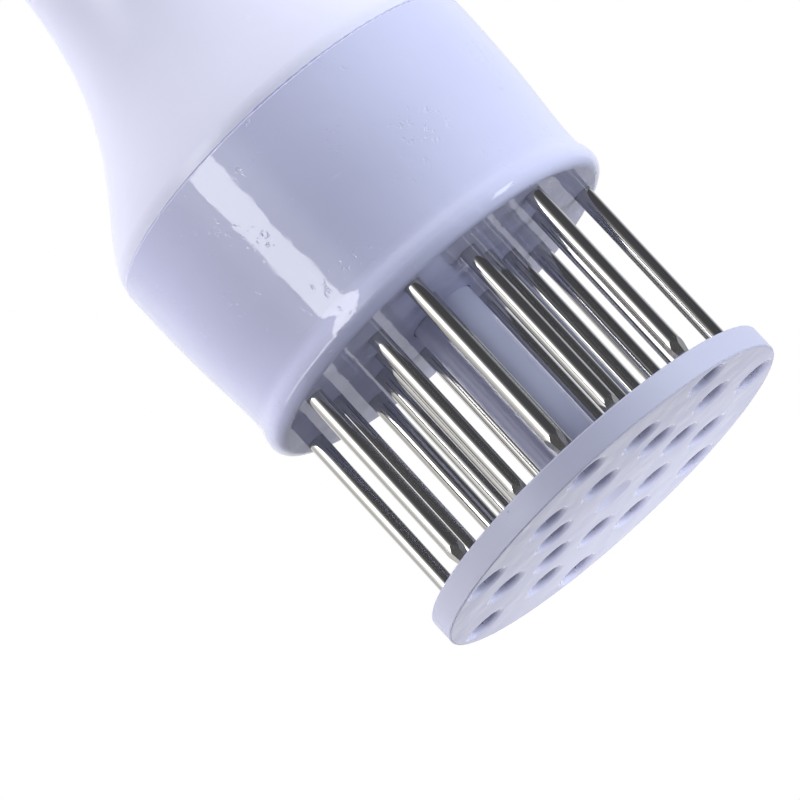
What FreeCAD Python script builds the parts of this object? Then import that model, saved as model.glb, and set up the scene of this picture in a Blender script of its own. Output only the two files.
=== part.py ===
import FreeCAD, Part
import math
import os

# Sizes in millimetres. The tool stands on its guard disc with the needles pointing down.
# +Z is up the handle, and the origin is the centre of the disc's underside.

# collar cup, whose largest diameter sets the width of the whole tool
collar_dia = 55.0
collar_height = 28.25
collar_wall = 2.8
collar_top_round = 0.25
waist_inset = 1.025
waist_height = 4.6
lip_inset = 0.45
lip_round = 1.6
floor_thick = 4.2
floor_skin = 1.25
guard_gap = 28.25

# guard disc
disc_inset = 0.7
disc_thick = 3.5
disc_lower_round = 0.2
disc_upper_round = 0.2
hole_lip_round = 1.1
dish_dia = 6.0
dish_depth = 0.65

# guard post
post_dia = 9.0
spigot_dia = 6.0
spigot_len = 1.8
post_screw_depth = 11.0
post_edge_round = 0.4

# needles
needles_per_ring = 7
outer_ring_inset = 3.55
outer_to_middle = 5.65
middle_to_inner = 6.6
first_angle = -90.0
needle_dia = 2.4
needle_head_dia = 3.2
needle_head_thick = 1.0
needle_facets = 6
needle_facet_len = 6.3
needle_setback = 0.1

# clamp plate and its screws
clamp_thick = 1.2
screw_count = 3
screw_dia = 2.6
screw_head_dia = 4.6
screw_head_height = 1.8
screw_depth = 3.0

# guide bush
bush_wall = 1.5
bush_height = 7.0
bush_flange_width = 1.3
bush_flange_thick = 1.2

# guide tube and its cap
tube_room = 0.4
tube_wall = 1.2
tube_flange_margin = 2.7
tube_flange_thick = 2.6
tube_cap_wall = 1.4
tube_cap_skirt = 5.0
tube_cap_thick = 2.0
tube_cap_boss_height = 3.0

# return spring
spring_room = 1.1
spring_wire_dia = 1.0
spring_len = 55.0
spring_turns = 13

# retaining washer and screw
washer_thick = 1.0
retainer_dia = 3.0
retainer_head_dia = 6.0
retainer_head_height = 2.0
retainer_len = 10.0

# handle shell
overall_height = 200.0
base_inset = 0.2
base_edge_round = 0.2
base_land = 0.7
base_blend = 0.6
flare_pull = 8.2
flare_lean = 0.49
neck_wall = 2.7
neck_height = 43.0
neck_pull = 25.5
neck_bore_len = 20.0
grip_dia = 35.0
grip_drop = 28.0
grip_lower_pull = 28.0
grip_upper_pull = 24.0
dome_pull = 17.0
crown_pull = 13.0
shell_wall = 2.6
skirt_wall = 2.2
skirt_len = 8.0
bead_height = 0.35
bead_drop = 4.5
bead_width = 1.6

# grip end cap
cap_split_drop = 10.0
cap_plug_inset = 5.5
cap_plug_len = 7.0
cap_plug_wall = 2.0
cap_bead_height = 0.25
cap_bead_width = 1.2

# clearances, all on the radius unless they say otherwise
running_clearance = 0.05
press_clearance = 0.02
loose_clearance = 0.15
groove_clearance = 0.1
neck_clearance = 0.2
stop_clearance = 0.1
guard_clearance = 0.95

# diameters and radii that follow from what each piece fits
collar_bore_dia = collar_dia - 2 * collar_wall
waist_dia = collar_dia - 2 * waist_inset
lip_dia = collar_dia - 2 * lip_inset
handle_base_dia = collar_dia - 2 * base_inset
skirt_dia = collar_bore_dia - 2 * loose_clearance
disc_dia = collar_dia - 2 * disc_inset
outer_ring_radius = disc_dia / 2 - outer_ring_inset
middle_ring_radius = outer_ring_radius - outer_to_middle
inner_ring_radius = middle_ring_radius - middle_to_inner
needle_hole_dia = needle_dia + 2 * guard_clearance
screw_circle_radius = (inner_ring_radius + middle_ring_radius) / 2
bush_dia = post_dia + 2 * bush_wall
bush_flange_dia = bush_dia + 2 * bush_flange_width
tube_bore_dia = bush_dia + 2 * tube_room
tube_dia = tube_bore_dia + 2 * tube_wall
tube_flange_dia = 2 * (screw_circle_radius + tube_flange_margin)
tube_cap_dia = tube_dia + 2 * tube_cap_wall
spring_dia = tube_bore_dia - 2 * spring_room
neck_bore_dia = tube_cap_dia + 2 * neck_clearance
neck_dia = neck_bore_dia + 2 * neck_wall
cap_plug_dia = grip_dia - 2 * cap_plug_inset

# levels up the tool's axis
floor_z = disc_thick + guard_gap
floor_top = floor_z + floor_thick
bush_z = floor_z + floor_skin
clamp_top = floor_top + clamp_thick
flange_top = clamp_top + tube_flange_thick
bush_top = clamp_top + bush_height
washer_z = bush_top + stop_clearance
spring_z = washer_z + washer_thick
tube_cap_z = spring_z + spring_len
seam_z = floor_z + collar_height
neck_z = seam_z + neck_height
grip_z = overall_height - grip_drop
cap_split_z = overall_height - cap_split_drop

origin = FreeCAD.Vector(0, 0, 0)
up = FreeCAD.Vector(0, 0, 1)


def at(radius, height):
    return FreeCAD.Vector(radius, 0, height)


def line(start, end):
    return Part.LineSegment(start, end).toShape()


def bezier(*poles):
    curve = Part.BezierCurve()
    curve.setPoles(list(poles))
    return curve.toShape()


def quarter_round(start, corner, end):
    """Arc that leaves start towards corner and arrives at end, for a square corner."""
    centre = start + end - corner
    middle = centre + (corner - centre) * math.sqrt(0.5)
    return Part.Arc(start, middle, end).toShape()


def turned(edges):
    face = Part.Face(Part.Wire(edges))
    return face.revolve(origin, up, 360)


def rod(diameter, bottom, top):
    return Part.makeCylinder(diameter / 2, top - bottom, at(0, bottom), up)


def ring(outer_dia, inner_dia, bottom, top):
    return rod(outer_dia, bottom, top).cut(rod(inner_dia, bottom, top))


def bead(core_dia, height, width, middle_z):
    """Half-round ridge of the given height around a shaft, sunk slightly into it."""
    core = core_dia / 2
    low = at(core, middle_z - width / 2)
    high = at(core, middle_z + width / 2)
    crest = at(core + height, middle_z)
    inner_low = at(core - height, low.z)
    inner_high = at(core - height, high.z)
    return turned([
        line(inner_low, low),
        Part.Arc(low, crest, high).toShape(),
        line(high, inner_high),
        line(inner_high, inner_low),
    ])


def polar(radius, degrees):
    angle = math.radians(degrees)
    return FreeCAD.Vector(radius * math.cos(angle), radius * math.sin(angle), 0)


def needle_places():
    """Name and axis point of each needle. The middle ring stands half a step round."""
    step = 360.0 / needles_per_ring
    rings = [
        ("inner", inner_ring_radius, 0.0),
        ("middle", middle_ring_radius, step / 2),
        ("outer", outer_ring_radius, 0.0),
    ]
    places = []
    for ring_name, radius, offset in rings:
        for index in range(needles_per_ring):
            degrees = first_angle + offset + index * step
            places.append(("needle_%s_%d" % (ring_name, index + 1), polar(radius, degrees)))
    return places


def screw_places():
    """Clamp screws a quarter step round from the inner needles, spread as evenly as those allow."""
    step = 360.0 / needles_per_ring
    places = []
    for index in range(screw_count):
        sector = round(index * needles_per_ring / screw_count)
        places.append(polar(screw_circle_radius, first_angle + (sector + 0.25) * step))
    return places


def copies(shape, places):
    moved = []
    for place in places:
        copy = shape.copy()
        copy.translate(place)
        moved.append(copy)
    return moved


def make_guard_disc():
    radius = disc_dia / 2
    low = disc_lower_round
    high = disc_upper_round
    body = turned([
        line(at(0, 0), at(radius - low, 0)),
        quarter_round(at(radius - low, 0), at(radius, 0), at(radius, low)),
        line(at(radius, low), at(radius, disc_thick - high)),
        quarter_round(at(radius, disc_thick - high), at(radius, disc_thick), at(radius - high, disc_thick)),
        line(at(radius - high, disc_thick), at(0, disc_thick)),
        line(at(0, disc_thick), at(0, 0)),
    ])
    hole = needle_hole_dia / 2
    lip = hole_lip_round
    hole_cutter = turned([
        line(at(0, 0), at(hole + lip, 0)),
        quarter_round(at(hole + lip, 0), at(hole, 0), at(hole, lip)),
        line(at(hole, lip), at(hole, disc_thick)),
        line(at(hole, disc_thick), at(0, disc_thick)),
        line(at(0, disc_thick), at(0, 0)),
    ])
    holes = copies(hole_cutter, [place for name, place in needle_places()])
    dish_radius = (dish_dia ** 2 / 4 + dish_depth ** 2) / (2 * dish_depth)
    dish = Part.makeSphere(dish_radius, at(0, dish_depth - dish_radius))
    socket_floor = disc_thick - spigot_len - stop_clearance
    socket = rod(spigot_dia + 2 * press_clearance, socket_floor, disc_thick)
    return body.cut(holes + [dish, socket])


def make_guard_post():
    radius = post_dia / 2
    body = turned([
        line(at(0, disc_thick), at(radius, disc_thick)),
        line(at(radius, disc_thick), at(radius, washer_z - post_edge_round)),
        line(at(radius, washer_z - post_edge_round), at(radius - post_edge_round, washer_z)),
        line(at(radius - post_edge_round, washer_z), at(0, washer_z)),
        line(at(0, washer_z), at(0, disc_thick)),
    ])
    spigot = rod(spigot_dia, disc_thick - spigot_len, disc_thick)
    pilot = rod(retainer_dia + 2 * press_clearance, washer_z - post_screw_depth, washer_z)
    return body.fuse(spigot).removeSplitter().cut(pilot)


def make_needle():
    """Needle on the Z axis, ground to a faceted point at its lower end, headed at its upper end."""
    radius = needle_dia / 2
    tip_z = needle_setback
    shaft = rod(needle_dia, tip_z, floor_top - needle_head_thick)
    head = rod(needle_head_dia, floor_top - needle_head_thick, floor_top)
    blank = shaft.fuse(head).removeSplitter()
    taper = math.degrees(math.atan2(radius, needle_facet_len))
    block_depth = 2 * needle_facet_len
    cutters = []
    for index in range(needle_facets):
        block = Part.makeBox(needle_dia, 2 * needle_dia, block_depth + needle_facet_len,
                             FreeCAD.Vector(0, -needle_dia, -needle_facet_len))
        block.rotate(origin, FreeCAD.Vector(0, 1, 0), taper)
        block.translate(at(0, tip_z))
        block.rotate(origin, up, first_angle + index * 360.0 / needle_facets)
        cutters.append(block)
    return blank.cut(cutters)


def make_collar_cup():
    lip = lip_dia / 2
    waist = waist_dia / 2
    top = collar_dia / 2
    waist_z = floor_z + waist_height
    lip_z = floor_z + lip_round
    shoulder_z = seam_z - collar_top_round
    sweep = waist_z - lip_z
    rise = shoulder_z - waist_z
    body = turned([
        line(at(0, floor_z), at(lip - lip_round, floor_z)),
        quarter_round(at(lip - lip_round, floor_z), at(lip, floor_z), at(lip, lip_z)),
        bezier(at(lip, lip_z), at(lip, lip_z + sweep / 2), at(waist, waist_z - sweep / 2), at(waist, waist_z)),
        bezier(at(waist, waist_z), at(waist, waist_z + rise / 4), at(top, waist_z + rise / 3),
               at(top, shoulder_z)),
        quarter_round(at(top, shoulder_z), at(top, seam_z), at(top - collar_top_round, seam_z)),
        line(at(top - collar_top_round, seam_z), at(0, seam_z)),
        line(at(0, seam_z), at(0, floor_z)),
    ])
    bore = rod(collar_bore_dia, floor_top, seam_z)
    groove = bead(collar_bore_dia, bead_height, bead_width + 2 * groove_clearance, seam_z - bead_drop)
    post_hole = rod(post_dia + 2 * loose_clearance, floor_z, bush_z)
    bush_bore = rod(bush_dia + 2 * press_clearance, bush_z, floor_top)
    shank_hole = rod(needle_dia + 2 * press_clearance, floor_z, floor_top)
    head_seat = rod(needle_head_dia + 2 * loose_clearance, floor_top - needle_head_thick, floor_top)
    needle_seat = shank_hole.fuse(head_seat)
    seats = copies(needle_seat, [place for name, place in needle_places()])
    pilot = rod(screw_dia + 2 * press_clearance, floor_top - screw_depth - stop_clearance, floor_top)
    pilots = copies(pilot, screw_places())
    return body.cut([bore, groove, post_hole, bush_bore] + seats + pilots)


def make_needle_clamp_plate():
    plate_dia = collar_bore_dia - 2 * loose_clearance
    plate = ring(plate_dia, bush_dia + 2 * loose_clearance, floor_top, clamp_top)
    hole = rod(screw_dia + 2 * loose_clearance, floor_top, clamp_top)
    return plate.cut(copies(hole, screw_places()))


def make_guide_bush():
    body = rod(bush_dia, bush_z, bush_top)
    flange = rod(bush_flange_dia, clamp_top, clamp_top + bush_flange_thick)
    bore = rod(post_dia + 2 * running_clearance, bush_z, bush_top)
    return body.fuse(flange).removeSplitter().cut(bore)


def make_guide_tube():
    tube = rod(tube_dia, clamp_top, tube_cap_z)
    flange = rod(tube_flange_dia, clamp_top, flange_top)
    bore = rod(tube_bore_dia, clamp_top, tube_cap_z)
    flange_seat = rod(bush_flange_dia + 2 * loose_clearance, clamp_top, clamp_top + bush_flange_thick)
    hole = rod(screw_dia + 2 * loose_clearance, clamp_top, flange_top)
    body = tube.fuse(flange).removeSplitter()
    return body.cut([bore, flange_seat] + copies(hole, screw_places()))


def make_tube_cap():
    top = rod(tube_cap_dia, tube_cap_z, tube_cap_z + tube_cap_thick)
    skirt = ring(tube_cap_dia, tube_dia + 2 * press_clearance, tube_cap_z - tube_cap_skirt, tube_cap_z)
    coil_bore = spring_dia - 2 * spring_wire_dia
    boss = rod(coil_bore - 2 * loose_clearance, tube_cap_z - tube_cap_boss_height, tube_cap_z)
    return top.fuse([skirt, boss]).removeSplitter()


def make_return_spring():
    """Round-wire coil with both ends ground flat on their seats."""
    coil_radius = (spring_dia - spring_wire_dia) / 2
    pitch = spring_len / spring_turns
    helix = Part.makeHelix(pitch, spring_len, coil_radius)
    section = Part.Wire(Part.makeCircle(spring_wire_dia / 2, at(coil_radius, 0), FreeCAD.Vector(0, 1, 0)))
    coil = Part.Wire(helix.Edges).makePipeShell([section], True, True)
    coil.translate(at(0, spring_z))
    span = rod(2 * spring_dia, spring_z, tube_cap_z)
    return coil.common(span)


def make_retaining_washer():
    return ring(bush_dia, retainer_dia + 2 * loose_clearance, washer_z, spring_z)


def cross_recess(width, depth, top_z):
    bar = Part.makeBox(width, width / 4, depth, FreeCAD.Vector(-width / 2, -width / 8, top_z - depth))
    crossing = bar.copy()
    crossing.rotate(origin, up, 90)
    return bar.fuse(crossing)


def pan_screw(shank_dia, head_dia, head_height, shank_bottom, head_bottom):
    """Pan-head screw with a rounded crown and a cross recess."""
    radius = head_dia / 2
    top = head_bottom + head_height
    crown = head_height / 2
    head = turned([
        line(at(0, head_bottom), at(radius, head_bottom)),
        line(at(radius, head_bottom), at(radius, top - crown)),
        quarter_round(at(radius, top - crown), at(radius, top), at(radius - crown, top)),
        line(at(radius - crown, top), at(0, top)),
        line(at(0, top), at(0, head_bottom)),
    ])
    shank = rod(shank_dia, shank_bottom, head_bottom)
    recess = cross_recess(head_dia / 2, head_height / 2, top)
    return head.fuse(shank).removeSplitter().cut(recess)


def make_retaining_screw():
    return pan_screw(retainer_dia, retainer_head_dia, retainer_head_height,
                     spring_z - retainer_len, spring_z)


def make_clamp_screws():
    screw = pan_screw(screw_dia, screw_head_dia, screw_head_height, floor_top - screw_depth, flange_top)
    return Part.makeCompound(copies(screw, screw_places()))


def handle_outline():
    """Outer edges of the handle, from the seam's rounded edge up to the crown on the axis."""
    base = handle_base_dia / 2
    neck = neck_dia / 2
    grip = grip_dia / 2
    lean = at(-flare_lean, 1)
    land_top = at(base, seam_z + base_land)
    bend = at(base, seam_z + base_land + base_blend)
    start = bend + lean * base_blend
    crown = at(0, overall_height)
    return [
        quarter_round(at(base - base_edge_round, seam_z), at(base, seam_z), at(base, seam_z + base_edge_round)),
        line(at(base, seam_z + base_edge_round), land_top),
        bezier(land_top, bend, start),
        bezier(start, start + lean * flare_pull, at(neck, neck_z - neck_pull), at(neck, neck_z)),
        bezier(at(neck, neck_z), at(neck, neck_z + grip_lower_pull), at(grip, grip_z - grip_upper_pull),
               at(grip, grip_z)),
        bezier(at(grip, grip_z), at(grip, grip_z + dome_pull), crown + at(crown_pull, 0), crown),
    ]


def handle_body():
    edges = handle_outline()
    foot = at(0, seam_z)
    base_edge = at(handle_base_dia / 2 - base_edge_round, seam_z)
    return turned([line(foot, base_edge)] + edges + [line(at(0, overall_height), foot)])


def handle_cavity():
    """Hollow inside the handle: a wide mouth, a straight bore in the neck and a room in the grip."""
    mouth = skirt_dia / 2 - skirt_wall
    neck_bore = neck_bore_dia / 2
    grip_room = grip_dia / 2 - shell_wall
    plug_bore = cap_plug_dia / 2 + press_clearance
    bore_top = tube_cap_z + neck_bore_len / 2
    bore_bottom = tube_cap_z - neck_bore_len / 2
    mouth_z = seam_z + base_land + shell_wall
    room_top = cap_split_z - cap_plug_len - shell_wall
    skirt_z = seam_z - skirt_len
    return turned([
        line(at(0, skirt_z), at(mouth, skirt_z)),
        line(at(mouth, skirt_z), at(mouth, mouth_z)),
        bezier(at(mouth, mouth_z), at(mouth - flare_lean * flare_pull, mouth_z + flare_pull / 2),
               at(neck_bore, bore_bottom - flare_pull), at(neck_bore, bore_bottom)),
        line(at(neck_bore, bore_bottom), at(neck_bore, bore_top)),
        bezier(at(neck_bore, bore_top), at(neck_bore, bore_top + grip_lower_pull / 2),
               at(grip_room, grip_z - grip_upper_pull), at(grip_room, grip_z)),
        bezier(at(grip_room, grip_z), at(grip_room, grip_z + dome_pull / 2),
               at(plug_bore, room_top - dome_pull / 4), at(plug_bore, room_top)),
        line(at(plug_bore, room_top), at(plug_bore, cap_split_z)),
        line(at(plug_bore, cap_split_z), at(0, cap_split_z)),
        line(at(0, cap_split_z), at(0, skirt_z)),
    ])


def make_handle_shell():
    skirt = rod(skirt_dia, seam_z - skirt_len, seam_z)
    ridge = bead(skirt_dia, bead_height, bead_width, seam_z - bead_drop)
    above_split = rod(2 * grip_dia, cap_split_z, 2 * overall_height)
    cap_groove = bead(cap_plug_dia + 2 * press_clearance, cap_bead_height,
                      cap_bead_width + 2 * groove_clearance, cap_split_z - cap_plug_len / 2)
    body = handle_body().fuse([skirt, ridge]).removeSplitter()
    return body.cut([handle_cavity(), above_split, cap_groove])


def make_grip_end_cap():
    above_split = rod(2 * grip_dia, cap_split_z, 2 * overall_height)
    dome = handle_body().common(above_split)
    plug = ring(cap_plug_dia, cap_plug_dia - 2 * cap_plug_wall, cap_split_z - cap_plug_len, cap_split_z)
    ridge = bead(cap_plug_dia, cap_bead_height, cap_bead_width, cap_split_z - cap_plug_len / 2)
    return dome.fuse([plug, ridge]).removeSplitter()


pieces = {
    "handle_shell": make_handle_shell(),
    "grip_end_cap": make_grip_end_cap(),
    "collar_cup": make_collar_cup(),
    "needle_clamp_plate": make_needle_clamp_plate(),
    "clamp_screws": make_clamp_screws(),
    "guide_bush": make_guide_bush(),
    "guide_tube": make_guide_tube(),
    "tube_cap": make_tube_cap(),
    "return_spring": make_return_spring(),
    "retaining_washer": make_retaining_washer(),
    "retaining_screw": make_retaining_screw(),
    "guard_post": make_guard_post(),
    "guard_disc": make_guard_disc(),
}

needle = make_needle()
for needle_name, needle_place in needle_places():
    pieces[needle_name] = copies(needle, [needle_place])[0]

os.makedirs("parts", exist_ok=True)
for piece_name, shape in pieces.items():
    shape.exportStep("parts/" + piece_name + ".step")
    print(piece_name, "solids", len(shape.Solids), "valid", shape.isValid(), "volume", round(shape.Volume, 2))
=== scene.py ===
import math
import bpy
import bmesh
from mathutils import Matrix, Quaternion, Vector, noise


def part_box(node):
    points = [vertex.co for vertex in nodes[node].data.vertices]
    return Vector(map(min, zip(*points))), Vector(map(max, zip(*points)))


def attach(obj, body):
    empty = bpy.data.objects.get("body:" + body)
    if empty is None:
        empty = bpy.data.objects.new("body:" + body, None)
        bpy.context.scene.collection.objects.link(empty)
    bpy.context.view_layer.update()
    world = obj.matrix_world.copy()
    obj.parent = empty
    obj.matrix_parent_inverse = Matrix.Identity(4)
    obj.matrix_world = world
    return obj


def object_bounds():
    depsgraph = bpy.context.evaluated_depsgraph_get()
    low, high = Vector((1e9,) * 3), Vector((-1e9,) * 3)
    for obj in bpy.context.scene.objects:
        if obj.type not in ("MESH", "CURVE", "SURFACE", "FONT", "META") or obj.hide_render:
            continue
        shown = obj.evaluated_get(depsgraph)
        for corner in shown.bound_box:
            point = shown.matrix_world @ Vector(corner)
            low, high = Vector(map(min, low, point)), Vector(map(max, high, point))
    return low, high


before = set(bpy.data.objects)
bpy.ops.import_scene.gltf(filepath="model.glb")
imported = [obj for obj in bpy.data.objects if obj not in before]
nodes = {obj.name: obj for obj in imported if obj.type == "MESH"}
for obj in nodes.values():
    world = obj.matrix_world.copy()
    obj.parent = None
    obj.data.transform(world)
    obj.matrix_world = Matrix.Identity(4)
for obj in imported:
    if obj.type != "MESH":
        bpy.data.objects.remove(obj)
cadLow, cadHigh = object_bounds()
mm = 0.001
print("frame loaded with", len(nodes), "nodes")

cupLow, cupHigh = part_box("collar_cup")
seamHeight = cupHigh.z        # the handle stands on the collar's top
toolMiddle = Vector((0, 0, 0.5 * cupHigh.z + 0.5 * cupLow.z))


def addNode(tree, kind, inputs=None, **settings):
    node = tree.nodes.new(kind)
    for key, value in settings.items():
        setattr(node, key, value)
    for key, value in (inputs or {}).items():
        if isinstance(value, bpy.types.NodeSocket):
            tree.links.new(value, node.inputs[key])
        else:
            node.inputs[key].default_value = value
    return node


def mathOf(tree, operation, first, second=0.0, clamp=False):
    node = addNode(tree, "ShaderNodeMath", {0: first, 1: second}, operation=operation, use_clamp=clamp)
    return node.outputs[0]


def mixColour(tree, factor, first, second, blend="MIX"):
    node = addNode(tree, "ShaderNodeMix", {0: factor, 6: first, 7: second},
                   data_type="RGBA", blend_type=blend)
    return node.outputs[2]


def mixValue(tree, factor, first, second):
    return addNode(tree, "ShaderNodeMix", {0: factor, 2: first, 3: second}).outputs[0]


def vectorMath(tree, operation, inputs, output=0):
    return addNode(tree, "ShaderNodeVectorMath", inputs, operation=operation).outputs[output]


def ramped(tree, value, band, most, smooth=True):
    # 0 below the band, and the most above it
    return remap(tree, value, band[0], band[1], 0.0, most, smooth)


def remap(tree, value, fromLow, fromHigh, toLow, toHigh, smooth=False):
    style = "SMOOTHSTEP" if smooth else "LINEAR"
    node = addNode(tree, "ShaderNodeMapRange", {0: value, 1: fromLow, 2: fromHigh, 3: toLow, 4: toHigh},
                   interpolation_type=style)
    return node.outputs[0]


def noiseOf(tree, vector, scale, detail=2.0, roughness=0.5):
    node = addNode(tree, "ShaderNodeTexNoise",
                   {"Vector": vector, "Scale": scale, "Detail": detail, "Roughness": roughness})
    return node.outputs["Fac"]


def stretched(tree, vector, scale):
    return addNode(tree, "ShaderNodeMapping", {"Vector": vector, "Scale": scale}).outputs[0]


def startGroup(name, inputs, outputs):
    group = bpy.data.node_groups.new(name, "ShaderNodeTree")
    for socketName, socketType, value in inputs:
        socket = group.interface.new_socket(name=socketName, in_out="INPUT", socket_type=socketType)
        if value is not None:
            socket.default_value = value
    for socketName, socketType in outputs:
        group.interface.new_socket(name=socketName, in_out="OUTPUT", socket_type=socketType)
    return group, group.nodes.new("NodeGroupInput"), group.nodes.new("NodeGroupOutput")


def useGroup(tree, group, values):
    node = tree.nodes.new("ShaderNodeGroup")
    node.node_tree = group
    for key, value in values.items():
        node.inputs[key].default_value = value
    return node


floatSocket, colourSocket, vectorSocket = "NodeSocketFloat", "NodeSocketColor", "NodeSocketVector"


mouldTexture = {
    "rippleDetail": 1.5,
    "rippleRoughness": 0.45,
    "swellShare": 0.28,        # of the ripple's scale
    "swellHeight": 1.5,        # times the ripple's height
    "grainScale": 2600.0,
    "pitScale": 1250.0,
    "pitBand": (0.58, 0.72),
    "pitPatchScale": 150.0,
    "pitPatchBand": (0.53, 0.62),
    "pitPatchShift": (0, 0, 19 * mm),
    "scuffAlong": (700, 700, 90),
    "scuffAcross": (120, 900, 700),
    "scuffBand": (0.66, 0.74),
    "scuffPatchScale": 90.0,
    "scuffPatchBand": (0.5, 0.68),
    "scuffColour": (0.9, 0.9, 0.95, 1),
    "scuffTone": 0.35,
    "scuffRoughness": 0.22,
    "scuffDepth": 0.0015 * mm,
    "fleckScale": 110.0,
    "fleckCore": 0.014,
    "fleckEdge": 0.03,
    "fleckPick": 0.55,        # a cell above this has a fleck
    "fleckColour": (0.07, 0.065, 0.08, 1),
    "fleckTone": 0.75,
    "fleckDepth": 0.02 * mm,
    "toneScale": 45.0,
    "toneBand": (0.35, 0.7),
    "toneMost": 0.6,
    "smudgeScale": 160.0,
    "smudgeBand": (0.45, 0.75),
    "smudgeMost": 0.05,
}


def makeMouldedSkinGroup(values):
    # moulded plastic: slow ripples, grain, faint scuffs and a few dark flecks
    group, given, result = startGroup("mouldedSkin", [
        ("Colour", colourSocket, (0.8, 0.8, 0.8, 1)),
        ("Shade", colourSocket, (0.7, 0.7, 0.75, 1)),
        ("Ripple Size", floatSocket, 0.006),
        ("Ripple Height", floatSocket, 0.000004),
        ("Grain Height", floatSocket, 0.0000004),
        ("Pit Depth", floatSocket, 0.00001),
        ("Gloss", floatSocket, 0.08),
        ("Scuffs", floatSocket, 0.5),
        ("Flecks", floatSocket, 1.0),
        ("Matt And Shade Beyond", floatSocket, 1.0),
        ("Matt Gloss", floatSocket, 0.5),
        ("Matt Painted Shade", floatSocket, 1.0),
    ], [("Colour", colourSocket), ("Roughness", floatSocket), ("Normal", vectorSocket)])
    place = addNode(group, "ShaderNodeTexCoord").outputs["Object"]

    rippleScale = mathOf(group, "DIVIDE", 1.0, given.outputs["Ripple Size"])
    ripple = noiseOf(group, place, rippleScale, values["rippleDetail"], values["rippleRoughness"])
    swell = noiseOf(group, place, mathOf(group, "MULTIPLY", rippleScale, values["swellShare"]), 0.0)
    grain = noiseOf(group, place, values["grainScale"])

    # small pits, only in some patches
    pits = ramped(group, noiseOf(group, place, values["pitScale"], 2.0, 0.6), values["pitBand"], 1.0)
    pitPlace = vectorMath(group, "ADD", {0: place, 1: values["pitPatchShift"]})
    pitted = ramped(group, noiseOf(group, pitPlace, values["pitPatchScale"]), values["pitPatchBand"], 1.0)
    pits = mathOf(group, "MULTIPLY", mathOf(group, "MULTIPLY", pits, pitted), given.outputs["Pit Depth"])

    # scuffs run in two crossing directions
    along = noiseOf(group, stretched(group, place, values["scuffAlong"]), 1.0, 3.0, 0.6)
    across = noiseOf(group, stretched(group, place, values["scuffAcross"]), 1.0, 3.0, 0.6)
    patches = ramped(group, noiseOf(group, place, values["scuffPatchScale"]), values["scuffPatchBand"], 1.0)
    lines = mathOf(group, "MAXIMUM", ramped(group, along, values["scuffBand"], 1.0, False),
                   ramped(group, across, values["scuffBand"], 1.0, False))
    scuffs = mathOf(group, "MULTIPLY", mathOf(group, "MULTIPLY", lines, patches), given.outputs["Scuffs"])

    cells = addNode(group, "ShaderNodeTexVoronoi", {"Vector": place, "Scale": values["fleckScale"]})
    cellPick = addNode(group, "ShaderNodeSeparateColor", {0: cells.outputs["Color"]}).outputs[0]
    distance = cells.outputs["Distance"]
    fleckRound = remap(group, distance, values["fleckCore"], values["fleckEdge"], 1.0, 0.0, True)
    picked = mathOf(group, "GREATER_THAN", cellPick, values["fleckPick"])
    fleck = mathOf(group, "MULTIPLY", fleckRound, picked)
    fleck = mathOf(group, "MULTIPLY", fleck, given.outputs["Flecks"])

    slowTone = noiseOf(group, place, values["toneScale"], 3.0)
    tone = ramped(group, slowTone, values["toneBand"], values["toneMost"])
    colour = mixColour(group, tone, given.outputs["Colour"], given.outputs["Shade"])
    scuffTone = mathOf(group, "MULTIPLY", scuffs, values["scuffTone"])
    colour = mixColour(group, scuffTone, colour, values["scuffColour"])
    fleckTone = mathOf(group, "MULTIPLY", fleck, values["fleckTone"])
    colour = mixColour(group, fleckTone, colour, values["fleckColour"])

    slowSmudge = noiseOf(group, place, values["smudgeScale"], 3.0)
    smudge = ramped(group, slowSmudge, values["smudgeBand"], values["smudgeMost"])
    rough = mathOf(group, "ADD", given.outputs["Gloss"], smudge)
    scuffRough = mathOf(group, "MULTIPLY", scuffs, values["scuffRoughness"])
    rough = mathOf(group, "ADD", rough, scuffRough, True)

    # walls beyond a radius were left matt by the mould, and their colour is darkened there as painted shade
    flatPlace = vectorMath(group, "MULTIPLY", {0: place, 1: (1, 1, 0)})
    radius = vectorMath(group, "LENGTH", {0: flatPlace}, "Value")
    mattAndShadeMask = mathOf(group, "GREATER_THAN", radius, given.outputs["Matt And Shade Beyond"])
    rough = mixValue(group, mattAndShadeMask, rough, given.outputs["Matt Gloss"])
    mattPaintedShade = mixValue(group, mattAndShadeMask, 1.0, given.outputs["Matt Painted Shade"])
    colour = vectorMath(group, "SCALE", {0: colour, 3: mattPaintedShade})

    height = mathOf(group, "MULTIPLY", ripple, given.outputs["Ripple Height"])
    swellHeight = mathOf(group, "MULTIPLY", given.outputs["Ripple Height"], values["swellHeight"])
    slow = mathOf(group, "MULTIPLY", swell, swellHeight)
    height = mathOf(group, "ADD", height, slow)
    height = mathOf(group, "ADD", height, mathOf(group, "MULTIPLY", grain, given.outputs["Grain Height"]))
    height = mathOf(group, "SUBTRACT", height, pits)
    height = mathOf(group, "SUBTRACT", height, mathOf(group, "MULTIPLY", fleck, values["fleckDepth"]))
    height = mathOf(group, "SUBTRACT", height, mathOf(group, "MULTIPLY", scuffs, values["scuffDepth"]))
    bump = addNode(group, "ShaderNodeBump", {"Height": height, "Distance": 1.0, "Strength": 1.0})

    group.links.new(colour, result.inputs["Colour"])
    group.links.new(rough, result.inputs["Roughness"])
    group.links.new(bump.outputs["Normal"], result.inputs["Normal"])
    return group


metalTexture = {
    "lineAlong": 8.0,
    "grindAround": 300.0,
    "grindAlong": 9000.0,
    "dullStretch": (420, 420, 40),
    "dullBand": (0.5, 0.72),
    "dullTone": 0.45,
    "dullRoughness": 0.04,
    "markToneBand": (0.3, 0.7),
    "markTone": 0.22,
    "markRoughBand": (0.35, 0.75),
    "markRoughness": 0.08,
    "groundRoughness": 0.05,
}


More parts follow.
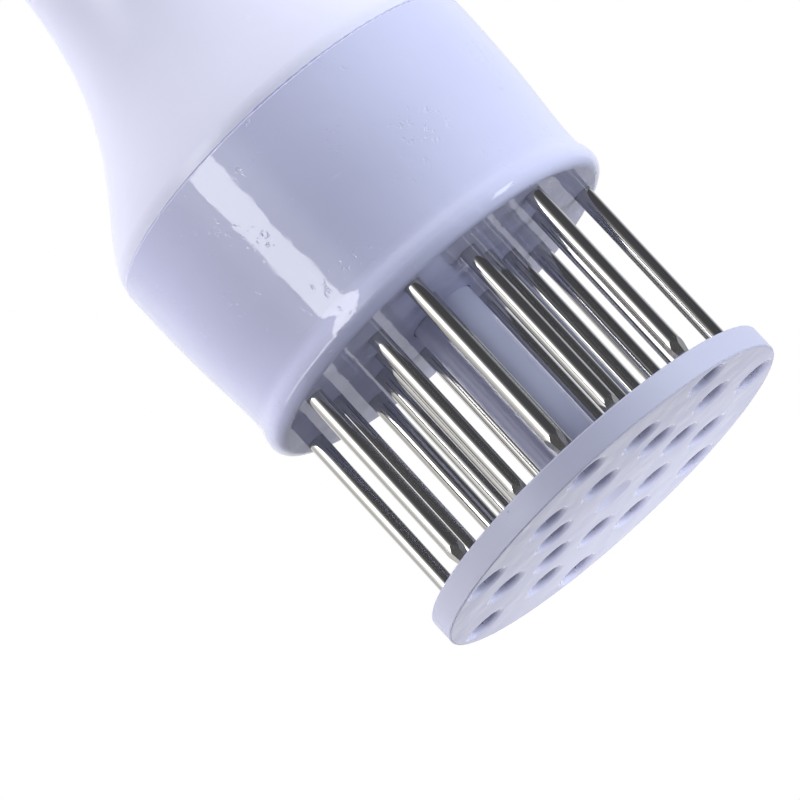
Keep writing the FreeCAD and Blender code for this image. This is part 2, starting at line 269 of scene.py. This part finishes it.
def makeDrawnMetalGroup(values):
    # drawn and ground metal: fine lines along the axis, cross marks where it was ground, and dulled patches
    group, given, result = startGroup("drawnMetal", [
        ("Colour", colourSocket, (0.6, 0.6, 0.6, 1)),
        ("Dull Colour", colourSocket, (0.4, 0.38, 0.36, 1)),
        ("Line Width", floatSocket, 0.00008),
        ("Line Depth", floatSocket, 0.0000004),
        ("Ground Below", floatSocket, -1.0),
        ("Gloss", floatSocket, 0.12),
    ], [("Colour", colourSocket), ("Roughness", floatSocket), ("Normal", vectorSocket)])
    place = addNode(group, "ShaderNodeTexCoord").outputs["Object"]
    parts = addNode(group, "ShaderNodeSeparateXYZ", {0: place})
    lineScale = mathOf(group, "DIVIDE", 1.0, given.outputs["Line Width"])

    flat = addNode(group, "ShaderNodeCombineXYZ", {
        "X": mathOf(group, "MULTIPLY", parts.outputs["X"], lineScale),
        "Y": mathOf(group, "MULTIPLY", parts.outputs["Y"], lineScale),
        "Z": mathOf(group, "MULTIPLY", parts.outputs["Z"], values["lineAlong"]),
    }).outputs[0]
    lines = noiseOf(group, flat, 1.0, 1.0, 0.5)
    crossed = addNode(group, "ShaderNodeCombineXYZ", {
        "X": mathOf(group, "MULTIPLY", parts.outputs["X"], values["grindAround"]),
        "Y": mathOf(group, "MULTIPLY", parts.outputs["Y"], values["grindAround"]),
        "Z": mathOf(group, "MULTIPLY", parts.outputs["Z"], values["grindAlong"]),
    }).outputs[0]
    grinding = noiseOf(group, crossed, 1.0, 2.0, 0.6)
    ground = mathOf(group, "LESS_THAN", parts.outputs["Z"], given.outputs["Ground Below"])
    marks = mixValue(group, ground, lines, grinding)

    dullNoise = noiseOf(group, stretched(group, place, values["dullStretch"]), 1.0)
    dull = ramped(group, dullNoise, values["dullBand"], 1.0)
    dullTone = mathOf(group, "MULTIPLY", dull, values["dullTone"])
    colour = mixColour(group, dullTone, given.outputs["Colour"], given.outputs["Dull Colour"])
    markTone = ramped(group, marks, values["markToneBand"], values["markTone"], False)
    colour = mixColour(group, markTone, colour, given.outputs["Dull Colour"])
    dullRough = mathOf(group, "MULTIPLY", dull, values["dullRoughness"])
    rough = mathOf(group, "ADD", given.outputs["Gloss"], dullRough)
    markRough = ramped(group, marks, values["markRoughBand"], values["markRoughness"], False)
    rough = mathOf(group, "ADD", rough, markRough)
    groundRough = mathOf(group, "MULTIPLY", ground, values["groundRoughness"])
    rough = mathOf(group, "ADD", rough, groundRough, True)
    depth = mathOf(group, "MULTIPLY", marks, given.outputs["Line Depth"])
    bump = addNode(group, "ShaderNodeBump", {"Height": depth, "Distance": 1.0, "Strength": 1.0})

    group.links.new(colour, result.inputs["Colour"])
    group.links.new(rough, result.inputs["Roughness"])
    group.links.new(bump.outputs["Normal"], result.inputs["Normal"])
    return group


mouldedSkin = makeMouldedSkinGroup(mouldTexture)
drawnMetal = makeDrawnMetalGroup(metalTexture)
print("surface effects made")


def makeMaterial(name, group, groupValues, shaderValues):
    material = bpy.data.materials.new(name)
    material.use_nodes = True
    tree = material.node_tree
    tree.nodes.clear()
    effect = useGroup(tree, group, groupValues)
    shader = addNode(tree, "ShaderNodeBsdfPrincipled", {
        "Base Color": effect.outputs["Colour"],
        "Roughness": effect.outputs["Roughness"],
        "Normal": effect.outputs["Normal"],
    })
    for key, value in shaderValues.items():
        shader.inputs[key].default_value = value
    addNode(tree, "ShaderNodeOutputMaterial", {"Surface": shader.outputs[0]})
    return material


collarSkin = {
    "Colour": (0.585, 0.60, 0.84, 1),
    "Shade": (0.555, 0.57, 0.80, 1),
    "Ripple Size": 3.5 * mm,
    "Ripple Height": 0.07 * mm,
    "Grain Height": 0.0003 * mm,
    "Pit Depth": 0.035 * mm,
    "Gloss": 0.05,
    "Scuffs": 0.5,
    "Flecks": 1.0,
}
handleSkin = dict(collarSkin, Colour=(0.70, 0.705, 0.885, 1), Shade=(0.67, 0.675, 0.85, 1), Gloss=0.36)
handleSkin["Pit Depth"] = 0.008 * mm
guardSkin = dict(collarSkin, Colour=(0.57, 0.58, 0.775, 1), Shade=(0.54, 0.55, 0.74, 1), Gloss=0.09)
guardSkin["Pit Depth"] = 0.012 * mm
guardSkin["Matt And Shade Beyond"] = 26.55 * mm
guardSkin["Matt Gloss"] = 0.45
# the disc's rim beyond this radius is darkened as painted shade
guardSkin["Matt Painted Shade"] = 0.86
# the post is the disc's plastic with its colour darkened as painted shade, for the shade among the needles
postShadedSkin = dict(guardSkin, Colour=(0.45, 0.46, 0.62, 1), Shade=(0.42, 0.43, 0.585, 1))
innerSkin = dict(collarSkin, Colour=(0.52, 0.54, 0.58, 1), Shade=(0.46, 0.48, 0.52, 1), Gloss=0.3)
bushSkin = dict(collarSkin, Colour=(0.75, 0.74, 0.69, 1), Shade=(0.68, 0.67, 0.62, 1), Gloss=0.25)
needleFinish = {
    "Colour": (0.68, 0.675, 0.665, 1),
    "Dull Colour": (0.44, 0.43, 0.41, 1),
    "Line Width": 0.2 * mm,
    "Line Depth": 0.0005 * mm,
    "Ground Below": 6.6 * mm,
    "Gloss": 0.045,
}
plateFinish = dict(needleFinish, Gloss=0.28)
plateFinish["Ground Below"] = -1.0
screwFinish = dict(plateFinish, Colour=(0.62, 0.62, 0.63, 1), Gloss=0.22)
springFinish = dict(plateFinish, Colour=(0.50, 0.50, 0.51, 1), Gloss=0.2)

handlePlastic = makeMaterial("handle_plastic", mouldedSkin, handleSkin, {"IOR": 1.5})
collarPlastic = makeMaterial("collar_plastic", mouldedSkin, collarSkin, {"IOR": 1.52})
guardPlastic = makeMaterial("guard_plastic", mouldedSkin, guardSkin, {"IOR": 1.52})
postShadedPlastic = makeMaterial("post_plastic_painted_shade", mouldedSkin, postShadedSkin, {"IOR": 1.52})
innerPlastic = makeMaterial("inner_plastic_look", mouldedSkin, innerSkin, {"IOR": 1.5})
bushPlastic = makeMaterial("bush_plastic_look", mouldedSkin, bushSkin, {"IOR": 1.48})
needleSteel = makeMaterial("needle_steel_look", drawnMetal, needleFinish, {"Metallic": 1.0})
plateSteel = makeMaterial("plate_steel_look", drawnMetal, plateFinish, {"Metallic": 1.0})
screwSteel = makeMaterial("screw_steel_look", drawnMetal, screwFinish, {"Metallic": 1.0})
springSteel = makeMaterial("spring_steel_look", drawnMetal, springFinish, {"Metallic": 1.0})

finishes = {
    "handle_shell": handlePlastic,
    "grip_end_cap": handlePlastic,
    "collar_cup": collarPlastic,
    "guard_disc": guardPlastic,
    "guard_post": postShadedPlastic,
    "guide_tube": innerPlastic,
    "tube_cap": innerPlastic,
    "guide_bush": bushPlastic,
    "needle_clamp_plate": plateSteel,
    "retaining_washer": plateSteel,
    "retaining_screw": screwSteel,
    "clamp_screws": screwSteel,
    "return_spring": springSteel,
}
for nodeName, node in nodes.items():
    node.material_slots[0].material = finishes.get(nodeName, needleSteel)
print("materials given to", len(nodes), "nodes")


seamFlash = {
    "radius": 27.26 * mm,
    "thickness": 0.07 * mm,
    "height": 0.2 * mm,
    "steps": 720,
    "crumbs": 46,
    "crumbSize": 0.09 * mm,
    "crumbOut": 0.06 * mm,        # beyond the flash line's radius
    "raggedScale": 1400.0,
    "raggedFineScale": 4100.0,
    "raggedFineShare": 0.6,
    "tagTurn": -38.0,        # degrees round from the front, towards the left
    "tagSize": 0.26 * mm,
    "tagOut": 0.2 * mm,
    "tagDrop": 0.1 * mm,
}


def makeSeamFlash(values):
    mesh = bmesh.new()
    bmesh.ops.create_circle(mesh, segments=values["steps"], radius=values["radius"], cap_ends=False)
    lower = list(mesh.edges)
    made = bmesh.ops.extrude_edge_only(mesh, edges=lower)["geom"]
    upper = [item for item in made if isinstance(item, bmesh.types.BMVert)]
    for vert in mesh.verts:
        vert.co.z += seamHeight - 0.5 * values["height"]
    for vert in upper:
        fine = noise.noise(vert.co * values["raggedFineScale"])
        ragged = noise.noise(vert.co * values["raggedScale"]) + values["raggedFineShare"] * fine
        vert.co.z += values["height"] * (0.55 + 0.7 * ragged)
    bmesh.ops.solidify(mesh, geom=list(mesh.faces), thickness=values["thickness"])
    for index in range(values["crumbs"]):
        turn = math.tau * (index + 0.8 * noise.noise(Vector((index, 3.1, 0.7)))) / values["crumbs"]
        size = values["crumbSize"] * (0.7 + 0.8 * abs(noise.noise(Vector((0.4, index * 1.7, 2.0)))))
        addCrumb(mesh, values["radius"] + values["crumbOut"], turn, seamHeight, size)
    tagTurn = math.radians(values["tagTurn"] - 90.0)
    tagHeight = seamHeight - values["tagDrop"]
    addCrumb(mesh, values["radius"] + values["tagOut"], tagTurn, tagHeight, values["tagSize"])
    bmesh.ops.recalc_face_normals(mesh, faces=list(mesh.faces))
    data = bpy.data.meshes.new("seam_flash")
    mesh.to_mesh(data)
    mesh.free()
    piece = bpy.data.objects.new("seam_flash", data)
    bpy.context.scene.collection.objects.link(piece)
    data.materials.append(handlePlastic)
    return piece


def addCrumb(mesh, radius, turn, height, size):
    # a small torn lump of plastic
    middle = Vector((radius * math.cos(turn), radius * math.sin(turn), height))
    lump = bmesh.ops.create_icosphere(mesh, subdivisions=1, radius=size, matrix=Matrix.Translation(middle))
    for vert in lump["verts"]:
        outward = vert.co - middle
        vert.co = middle + outward * (0.75 + 0.6 * noise.noise(vert.co * 9000.0))


flashPiece = makeSeamFlash(seamFlash)
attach(flashPiece, "handle")
print("seam flash made")


def direction(azimuth, elevation):
    # azimuth 0 is in front of the tool, on the -Y side, and 90 is on its +X side
    turn, lift = math.radians(azimuth), math.radians(elevation)
    return Vector((math.sin(turn) * math.cos(lift), -math.cos(turn) * math.cos(lift), math.sin(lift)))


surround = {
    "ambientAbove": (0.33, 0.33, 0.34, 1),
    "ambientBelow": (0.12, 0.12, 0.13, 1),
    "mirrorLevel": 2.0,        # how bright a full 1 in these lists is, where white paper is 1
    "mirroredTwice": (0.13, 0.13, 0.135, 1),        # all round, in a mirror image of a mirror image
    # what the tool mirrors at eye level, by azimuth
    "eyeLevel": [
        (-180, (0.46, 0.46, 0.46)),
        (-135, (0.50, 0.50, 0.50)),
        (-112, (0.30, 0.29, 0.28)),
        (-84, (0.36, 0.35, 0.34)),
        (-66, (0.50, 0.50, 0.49)),
        (-58, (0.95, 0.95, 0.95)),
        (-24, (0.95, 0.95, 0.95)),
        (-12, (0.26, 0.26, 0.26)),
        (2, (0.085, 0.084, 0.085)),
        (16, (0.045, 0.045, 0.048)),
        (92, (0.036, 0.037, 0.042)),
        (108, (0.085, 0.09, 0.10)),
        (122, (0.26, 0.27, 0.29)),
        (145, (0.42, 0.43, 0.45)),
        (180, (0.45, 0.45, 0.46)),
    ],
    # and below it
    "below": [
        (-180, (0.25, 0.25, 0.26)),
        (-120, (0.20, 0.20, 0.20)),
        (-60, (0.035, 0.035, 0.035)),
        (60, (0.022, 0.022, 0.025)),
        (120, (0.20, 0.20, 0.21)),
        (180, (0.25, 0.25, 0.26)),
    ],
    "overhead": (0.5, 0.5, 0.5, 1),
    # heights of the view over which one level gives way to the next
    "belowBand": (-0.22, -0.1),
    "overheadBand": (0.45, 0.8),
    "ambientBand": (-0.6, 0.6),
    "secondImageDepth": 2.5,        # ray depths above this belong to an image in an image
}


def rampOf(tree, value, stops):
    ramp = addNode(tree, "ShaderNodeValToRGB", {0: value})
    elements = ramp.color_ramp.elements
    while len(elements) < len(stops):
        elements.new(0.5)
    for element, (azimuth, colour) in zip(elements, stops):
        element.position = (azimuth + 180) / 360
        element.color = (*colour, 1)
    return ramp.outputs[0]


def makeWorld(values):
    world = bpy.data.worlds.new("studio")
    bpy.context.scene.world = world
    world.use_nodes = True
    tree = world.node_tree
    tree.nodes.clear()
    toward = addNode(tree, "ShaderNodeTexCoord").outputs["Generated"]
    parts = addNode(tree, "ShaderNodeSeparateXYZ", {0: toward})
    turned = mathOf(tree, "ARCTAN2", parts.outputs["X"], mathOf(tree, "MULTIPLY", parts.outputs["Y"], -1.0))
    share = remap(tree, turned, -math.pi, math.pi, 0.0, 1.0)
    eyeLevel = rampOf(tree, share, values["eyeLevel"])
    below = rampOf(tree, share, values["below"])
    height = parts.outputs["Z"]
    mirrored = mixColour(tree, ramped(tree, height, values["belowBand"], 1.0), below, eyeLevel)
    lift = ramped(tree, height, values["overheadBand"], 1.0)
    mirrored = mixColour(tree, lift, mirrored, values["overhead"])
    path = addNode(tree, "ShaderNodeLightPath")
    again = mathOf(tree, "GREATER_THAN", path.outputs["Ray Depth"], values["secondImageDepth"])
    mirrored = vectorMath(tree, "SCALE", {0: mirrored, 3: values["mirrorLevel"]})
    mirrored = mixColour(tree, again, mirrored, values["mirroredTwice"])
    upward = ramped(tree, height, values["ambientBand"], 1.0)
    ambient = mixColour(tree, upward, values["ambientBelow"], values["ambientAbove"])
    light = mixColour(tree, path.outputs["Is Glossy Ray"], ambient, mirrored)
    seen = mathOf(tree, "MAXIMUM", path.outputs["Is Camera Ray"], path.outputs["Is Transmission Ray"])
    light = mixColour(tree, seen, light, (1, 1, 1, 1))
    background = addNode(tree, "ShaderNodeBackground", {"Color": light, "Strength": 1.0})
    addNode(tree, "ShaderNodeOutputWorld", {"Surface": background.outputs[0]})
    world.cycles.sampling_method = "NONE"


makeWorld(surround)

lamps = {
    "tallWindow": {"azimuth": -40, "elevation": 22, "distance": 0.6, "size": (0.18, 0.56), "watts": 2.0,
                   "colour": (1.0, 1.0, 1.0), "glossy": True, "diffuse": False},
    "stripWindow": {"azimuth": -75, "elevation": 0, "distance": 0.6, "size": (0.62, 0.06), "watts": 0.58,
                    "colour": (1.0, 1.0, 1.0), "glossy": True, "diffuse": False},
    "rightWindow": {"azimuth": 70, "elevation": -14, "distance": 0.6, "size": (0.14, 0.3), "watts": 0.66,
                    "colour": (1.0, 1.0, 1.0), "glossy": True, "diffuse": False},
    "rightFill": {"azimuth": 92, "elevation": -9, "distance": 0.7, "size": (0.5, 0.5), "watts": 3.7,
                  "colour": (0.94, 1.0, 1.0), "glossy": False, "diffuse": True},
    "rightFront": {"azimuth": 50, "elevation": -9, "distance": 0.7, "size": (0.5, 0.5), "watts": 2.3,
                   "colour": (0.94, 1.0, 1.0), "glossy": False, "diffuse": True},
    "topFill": {"azimuth": 10, "elevation": 76, "distance": 0.75, "size": (0.5, 0.5), "watts": 3.4,
                "colour": (1.0, 1.0, 1.0), "glossy": False, "diffuse": True},
    "underFill": {"azimuth": 175, "elevation": -74, "distance": 0.111, "size": (0.05, 0.05), "watts": 0.045,
                  "colour": (1.0, 1.0, 1.0), "glossy": False, "diffuse": True},
    "leftFill": {"azimuth": -118, "elevation": 5, "distance": 0.7, "size": (0.4, 0.4), "watts": 3.1,
                 "colour": (1.0, 1.0, 1.0), "glossy": False, "diffuse": True},
    "leftFront": {"azimuth": -80, "elevation": 5, "distance": 0.7, "size": (0.4, 0.4), "watts": 2.0,
                  "colour": (1.0, 1.0, 1.0), "glossy": False, "diffuse": True},
}


secondImageShare = 0.1        # how much of a lamp is left in an image in an image


def addLamp(name, values):
    data = bpy.data.lights.new(name, "AREA")
    data.shape = "RECTANGLE"
    data.size, data.size_y = values["size"]
    data.energy = values["watts"]
    data.color = values["colour"]
    lamp = bpy.data.objects.new(name, data)
    bpy.context.scene.collection.objects.link(lamp)
    toward = direction(values["azimuth"], values["elevation"])
    lamp.location = toolMiddle + toward * values["distance"]
    lamp.rotation_mode = "QUATERNION"
    lamp.rotation_quaternion = toward.to_track_quat("Z", "Y")
    lamp.visible_glossy = values["glossy"]
    lamp.visible_diffuse = values["diffuse"]
    lamp.visible_camera = False
    if values["glossy"]:
        dimSecondImage(data)


def dimSecondImage(data):
    # a lamp's image in a mirror image is kept faint, so that the crowded needles don't sparkle
    data.use_nodes = True
    tree = data.node_tree
    tree.nodes.clear()
    path = addNode(tree, "ShaderNodeLightPath")
    strength = remap(tree, path.outputs["Ray Depth"], 2.0, 3.0, 1.0, secondImageShare)
    glow = addNode(tree, "ShaderNodeEmission", {"Strength": strength})
    addNode(tree, "ShaderNodeOutputLight", {"Surface": glow.outputs[0]})


for lampName, lampValues in lamps.items():
    addLamp(lampName, lampValues)

floorLook = {
    "halfWidth": 3.0,
    "drop": 0.2 * mm,        # just under the disc, so that the two faces don't meet
    "colour": (0.86, 0.86, 0.87, 1),
    "fadeFrom": 0.16,
    "fadeTo": 0.6,
}


def makeFloor(values):
    # seen from above only: from below the tool is looked at through it
    mesh = bmesh.new()
    bmesh.ops.create_grid(mesh, x_segments=2, y_segments=2, size=values["halfWidth"])
    for vert in mesh.verts:
        vert.co.z = cadLow.z - values["drop"]
    data = bpy.data.meshes.new("floor")
    mesh.to_mesh(data)
    mesh.free()
    piece = bpy.data.objects.new("floor", data)
    bpy.context.scene.collection.objects.link(piece)
    material = bpy.data.materials.new("floor_look")
    material.use_nodes = True
    tree = material.node_tree
    tree.nodes.clear()
    place = addNode(tree, "ShaderNodeTexCoord").outputs["Object"]
    distance = vectorMath(tree, "LENGTH", {0: place}, "Value")
    paper = addNode(tree, "ShaderNodeBsdfDiffuse", {"Color": values["colour"]})
    white = addNode(tree, "ShaderNodeEmission", {"Color": (1, 1, 1, 1), "Strength": 1.0})
    fade = ramped(tree, distance, (values["fadeFrom"], values["fadeTo"]), 1.0)
    shown = addNode(tree, "ShaderNodeMixShader", {0: fade, 1: paper.outputs[0], 2: white.outputs[0]})
    clear = addNode(tree, "ShaderNodeBsdfTransparent")
    behind = addNode(tree, "ShaderNodeNewGeometry").outputs["Backfacing"]
    both = addNode(tree, "ShaderNodeMixShader", {0: behind, 1: shown.outputs[0], 2: clear.outputs[0]})
    addNode(tree, "ShaderNodeOutputMaterial", {"Surface": both.outputs[0]})
    data.materials.append(material)
    piece.visible_diffuse = False
    piece.visible_glossy = False
    piece.visible_transmission = False
    piece.visible_shadow = False


makeFloor(floorLook)
print("studio made with", len(lamps), "lamps")


cameraView = {
    "azimuth": 2.0,
    "elevation": -11.876,        # from below
    "roll": -42.526,
    "distance": 0.9289,
    "aimLeft": 11.32 * mm,
    "aimHeight": 27.07 * mm,
    "lens": 337.4,
    "sensor": 36.0,
}


def makeCamera(values):
    data = bpy.data.cameras.new("camera")
    data.lens = values["lens"]
    data.sensor_width = values["sensor"]
    camera = bpy.data.objects.new("camera", data)
    bpy.context.scene.collection.objects.link(camera)
    back = direction(values["azimuth"], values["elevation"])
    side = direction(values["azimuth"] - 90, 0)
    aim = side * values["aimLeft"] + Vector((0, 0, values["aimHeight"]))
    camera.location = aim + back * values["distance"]
    camera.rotation_mode = "QUATERNION"
    roll = Quaternion((0, 0, 1), math.radians(values["roll"]))
    camera.rotation_quaternion = (-back).to_track_quat("-Z", "Y") @ roll
    bpy.context.scene.camera = camera


makeCamera(cameraView)
bpy.context.scene.view_settings.view_transform = "Standard"
print("camera made")
